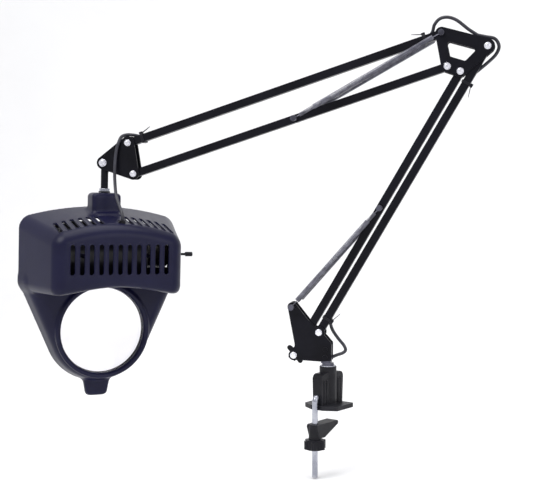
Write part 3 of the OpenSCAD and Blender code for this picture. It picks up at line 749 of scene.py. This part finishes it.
def wing_nuts():
    for name, point, angle, body in (("tension_wing_nut", base_left, 50.0, "base_bracket"),
                                     ("tilt_wing_nut", tilt_pivot, -70.0, "head_bracket")):
        piece = Piece()
        wing(piece, turn_to_rear(point) @ Matrix.Rotation(math.radians(angle), 4, "Z"))
        piece.place(f"{name}_moulded", "black_plastic", body, [name])


wing_nuts()


# ---------- springs ----------

def helix(start, end, radius, turns, per_turn=18):
    axis = end - start
    side = axis.orthogonal().normalized()
    other = axis.normalized().cross(side)
    count = int(turns * per_turn)
    return [start + axis * (i / count)
            + radius * (math.cos(math.tau * i / per_turn) * side + math.sin(math.tau * i / per_turn) * other)
            for i in range(count + 1)]


def hook_loop(centre, towards):
    """Open eye round a stud in the arm's plane, with a lead that runs to the point towards."""
    lead = (towards - centre).normalized()
    across = Vector((0, 1, 0)).cross(lead)
    arc = [centre + HOOK_R * (math.cos(a) * lead + math.sin(a) * across)
           for a in (math.radians(20 + 335 * i / 30) for i in range(31))]
    return [*arc, centre + lead * (HOOK_R + 2.5), towards]


def springs():
    wire_sides = 6
    for name, anchor, stud, start, end, inner, coil_body, end_body in (
            ("lower", spring_anchor, lower_stud, 13.0, 162.0, 48.0,
             "lower_spring_coils", "lower_spring_ends"),
            ("forearm", elbow_top, fore_stud, 13.0, 199.0, 60.0,
             "forearm_spring_coils", "forearm_spring_ends")):
        spring_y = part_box(f"{name}_springs")[1].y / MM - COIL_R
        coils, ends = Piece(), Piece()
        for y in (-spring_y, spring_y):
            a = millimetres(anchor) + Vector((0, y, 0))
            b = millimetres(stud) + Vector((0, y, 0))
            run = (b - a).normalized()
            turns = (end - start) / 1.62
            wound = helix(a + run * start, a + run * end, COIL_R - WIRE_R, turns)
            coils.add(sweep(wound, WIRE_R, wire_sides))
            coils.add(sweep(hook_loop(a, a + run * (start + 0.4)), WIRE_R, 8))
            ends.add(sweep(helix(b - run * 9.5, b - run * inner, INNER_COIL_R - WIRE_R, (inner - 9.5) / 1.5),
                           WIRE_R * 0.9, wire_sides))
            ends.add(sweep(hook_loop(b, b - run * 10.0), WIRE_R, 8))
        coils.place(f"{name}_coil_pair", "spring_steel", coil_body, [f"{name}_springs"], crease=60.0)
        ends.place(f"{name}_spring_eyes", "spring_steel", end_body, [f"{name}_spring_hooks"], crease=60.0)


springs()


# ---------- cord and cable ties ----------

def cord_piece(name, points, bodies, replaced=()):
    """Flexible cord through points in millimetres; with one body it rides on that body, with two it stays fixed
    where it is drawn.
    """
    piece = Piece()
    piece.add(sweep(smooth_path(points, 10), CORD_R, 16))
    o = new_object(name, piece.mesh(name, WORLD_MM), "cord_rubber", 50.0)
    if len(bodies) == 1:
        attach(o, bodies[0])
    else:
        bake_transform(o)
    if replaced:
        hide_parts(*replaced)


def along_bar(start, end, distance, y):
    """Point beside a bar, a distance from its first pivot, in millimetres."""
    start, end = millimetres(start), millimetres(end)
    return start + (end - start).normalized() * distance + Vector((0, y, 0))


def head_point(x, y, z):
    return (HEAD @ Vector((x, y, z))) / MM


def cords():
    back = BAR_HALF + CORD_R + 0.2
    lower_tie = along_bar(base_right, elbow_right, 24.0, back)
    lower_end = along_bar(base_right, elbow_right, 409.0, back)
    fore_start = along_bar(elbow_top, head_top, 24.0, back)
    fore_end = along_bar(elbow_top, head_top, 452.0, back)
    cord_piece("cord_on_lower_bar", [lower_tie, along_bar(base_right, elbow_right, 220.0, back), lower_end],
               ["right_lower_arm"], ["lower_cord_run"])
    cord_piece("cord_on_forearm", [fore_start, along_bar(elbow_top, head_top, 235.0, back), fore_end],
               ["upper_forearm"], ["forearm_cord_run"])

    r = millimetres(base_right)
    base_loop = [(5.0, 0.0, 71.0), (13.0, 0.6, 74.6), (21.0, 1.6, 77.6), (24.6, 2.4, 81.8), (21.6, 3.2, 88.6),
                 (13.0, 4.6, 98.4), (r.x + 16.5, 6.8, r.z + 4.0), lower_tie]
    cord_piece("cord_base_loop", base_loop, ["base_bracket", "right_lower_arm"], ["base_cord"])

    b, a = millimetres(elbow_right), millimetres(elbow_top)
    junction = (b.x - 14.0, 4.0, b.z + 16.0)
    around_elbow = [lower_end, (b.x + 2.0, 7.2, b.z - 19.0), (b.x + 11.5, 6.0, b.z - 9.0),
                    (b.x + 14.6, 4.8, b.z + 1.0), (b.x + 9.0, 4.2, b.z + 10.5), (b.x - 3.0, 4.0, b.z + 13.5),
                    junction]
    cord_piece("cord_round_elbow", around_elbow, ["right_lower_arm", "elbow"], ["elbow_cord"])
    over_elbow = [junction, (b.x - 26.0, 3.6, b.z + 24.0), (a.x + 20.0, 3.2, a.z + 18.0),
                  (a.x + 8.0, 3.0, a.z + 22.6), (a.x - 3.0, 3.2, a.z + 21.0),
                  (a.x - 10.5, 4.2, a.z + 13.0), (a.x - 13.6, 6.0, a.z + 3.0), fore_start]
    cord_piece("cord_over_elbow", over_elbow, ["elbow", "upper_forearm"], ())

    p, h = millimetres(head_top), millimetres(tilt_pivot)
    beside = (p.x - 13.4, -12.0, p.z - 2.0)
    to_bracket = [fore_end, (p.x + 12.0, 7.0, p.z + 10.0), (p.x + 4.0, 3.0, p.z + 11.8),
                  (p.x - 3.5, -2.5, p.z + 11.8), (p.x - 9.6, -8.0, p.z + 8.4), beside]
    cord_piece("cord_over_bracket", to_bracket, ["upper_forearm", "head_bracket"], ())
    below = (h.x + 21.0, -16.0, h.z - 8.0)
    down_bracket = [beside, (p.x - 15.6, -13.0, p.z - 12.0), (p.x - 16.8, -14.0, p.z - 24.0), below]
    cord_piece("cord_beside_bracket", down_bracket, ["head_bracket", "stem"], ())
    hole = [head_point(CORD_HOLE[0], CORD_HOLE[1], z) for z in (-72.0, -84.0, -98.0)]
    down_neck = [below, (h.x + 22.5, -20.0, h.z - 26.0), (h.x + 28.5, -29.5, h.z - 50.0), *hole]
    cord_piece("cord_into_head", down_neck, ["stem", "head"], ["head_cord"])


def cable_tie(piece, matrix):
    """Strap round the bar and cord, with its lock on top and a tapering tail; X runs along the bar."""
    half, back, width, t = BAR_HALF + 0.15, BAR_HALF + 2 * CORD_R + 0.4, 3.4, 1.1
    corner = 1.6
    loop = []
    for cy, cz, start in ((back - corner, half - corner, 0), (-half + corner, half - corner, 90),
                          (-half + corner, -half + corner, 180), (back - corner, -half + corner, 270)):
        for i in range(6):
            a = math.radians(start + 18 * i)
            loop.append((cy, cz, math.cos(a), math.sin(a)))
    count = len(loop)
    verts, faces = [], []
    for x, grow in ((-width / 2, 0.1), (-width / 2, t), (width / 2, t), (width / 2, 0.1)):
        verts.extend((x, cy + (corner + grow) * c, cz + (corner + grow) * s) for cy, cz, c, s in loop)
    for ring in range(4):
        for i in range(count):
            j = (i + 1) % count
            a, b = ring * count, ((ring + 1) % 4) * count
            faces.append((a + i, a + j, b + j, b + i))
    piece.add((verts, faces), matrix)
    lock = [(x, y, z) for x in (-2.6, 2.6) for y in (-4.4, 0.4) for z in (half + 0.6, half + 3.6)]
    lock += [(x, y, half + 4.1) for x in (-2.0, 2.0) for y in (-3.8, -0.2)]
    piece.add(hull(lock), matrix)
    tail = []
    for u, w, h in ((0.0, 1.4, 0.55), (7.0, 1.3, 0.5), (13.0, 0.6, 0.4), (15.0, 0.2, 0.25)):
        point = Vector((-1.5 - u * 0.96, -2.0 - 0.05 * u, half + 2.0 + 0.32 * u))
        tail += [point + Vector((0, sy * w, sz * h)) for sy in (-1, 1) for sz in (-1, 1)]
    piece.add(hull(tail), matrix)


def tie_matrix(start, end, distance, flip):
    """Bar frame at a distance from its first pivot; flip points the tie's tail back along the bar."""
    start, end = millimetres(start), millimetres(end)
    run = (end - start).normalized()
    rise = Vector((-run.z, 0, run.x))
    if rise.z < 0:
        rise = -rise
    x_axis = -run if flip else run
    axes = Matrix((x_axis, Vector((0, 1, 0)), rise)).transposed().to_4x4()
    return Matrix.Translation(start + run * distance) @ axes


def cable_ties():
    lower, upper = Piece(), Piece()
    for distance, flip, side in ((22.0, True, -1), (399.0, False, -1)):
        m = tie_matrix(base_right, elbow_right, distance, flip) @ Matrix.Scale(side, 4, (0, 0, 1))
        cable_tie(lower, m)
    for distance, flip in ((24.0, False), (448.0, False)):
        cable_tie(upper, tie_matrix(elbow_top, head_top, distance, flip != (distance < 100)))
    lower.place("lower_tie_straps", "black_plastic", "right_lower_arm", ["lower_cord_ties"])
    upper.place("forearm_tie_straps", "black_plastic", "upper_forearm", ["forearm_cord_ties"])


cords()
cable_ties()


# ---------- camera, floor and light ----------

def studio():
    low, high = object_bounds()
    floor_z = low.z - 0.002
    middle = (low + high) / 2
    profile = [(-6.0, 0.0), (1.6, 0.0)]
    profile += [(1.6 + 0.9 * math.sin(a), 0.9 - 0.9 * math.cos(a)) for a in
                (math.radians(6 * i) for i in range(1, 16))]
    profile += [(2.5, 5.0)]
    verts = [(x, y, floor_z + z) for y, z in profile for x in (middle.x - 8, middle.x + 8)]
    faces = [(2 * i, 2 * i + 1, 2 * i + 3, 2 * i + 2) for i in range(len(profile) - 1)]
    mesh = bpy.data.meshes.new("studio_sweep")
    mesh.from_pydata(verts, [], faces)
    mesh.shade_smooth()
    floor = bpy.data.objects.new("studio_sweep", mesh)
    bpy.context.scene.collection.objects.link(floor)
    paper = finish("studio_paper", (0.86, 0.86, 0.86), (0.89, 0.89, 0.89), 0.8, 0.03, 300.0, 0.00005,
                   edge_radius=0.0, specular=0.2, drift_scale=2.0)
    mesh.materials.append(paper)

    world = bpy.data.worlds.new("studio_air")
    bpy.context.scene.world = world
    world.use_nodes = True
    background = world.node_tree.nodes["Background"]
    background.inputs["Color"].default_value = (0.97, 0.97, 1.0, 1)
    background.inputs["Strength"].default_value = 0.75

    for name, place, size, power in (("key", (-1.1, -1.6, 2.3), 1.8, 42.0),
                                     ("top", (0.1, 0.1, 2.6), 2.4, 34.0),
                                     ("fill", (1.9, -1.4, 1.0), 1.6, 10.0)):
        light = bpy.data.lights.new(name, "AREA")
        light.shape = "DISK"
        light.size = size
        light.energy = power
        lamp = bpy.data.objects.new(name, light)
        lamp.location = place
        lamp.rotation_euler = (middle - Vector(place)).to_track_quat("-Z", "Y").to_euler()
        bpy.context.scene.collection.objects.link(lamp)

    camera_data = bpy.data.cameras.new("camera")
    camera_data.sensor_width = 36.0
    camera_data.lens = 73.0
    camera = bpy.data.objects.new("camera", camera_data)
    camera.location = (0.2514, -1.5421, 0.3171)
    camera.rotation_euler = (math.radians(86.73), 0.0, math.radians(12.0))
    bpy.context.scene.collection.objects.link(camera)
    bpy.context.scene.camera = camera
    bpy.context.scene.view_settings.view_transform = "Standard"


studio()
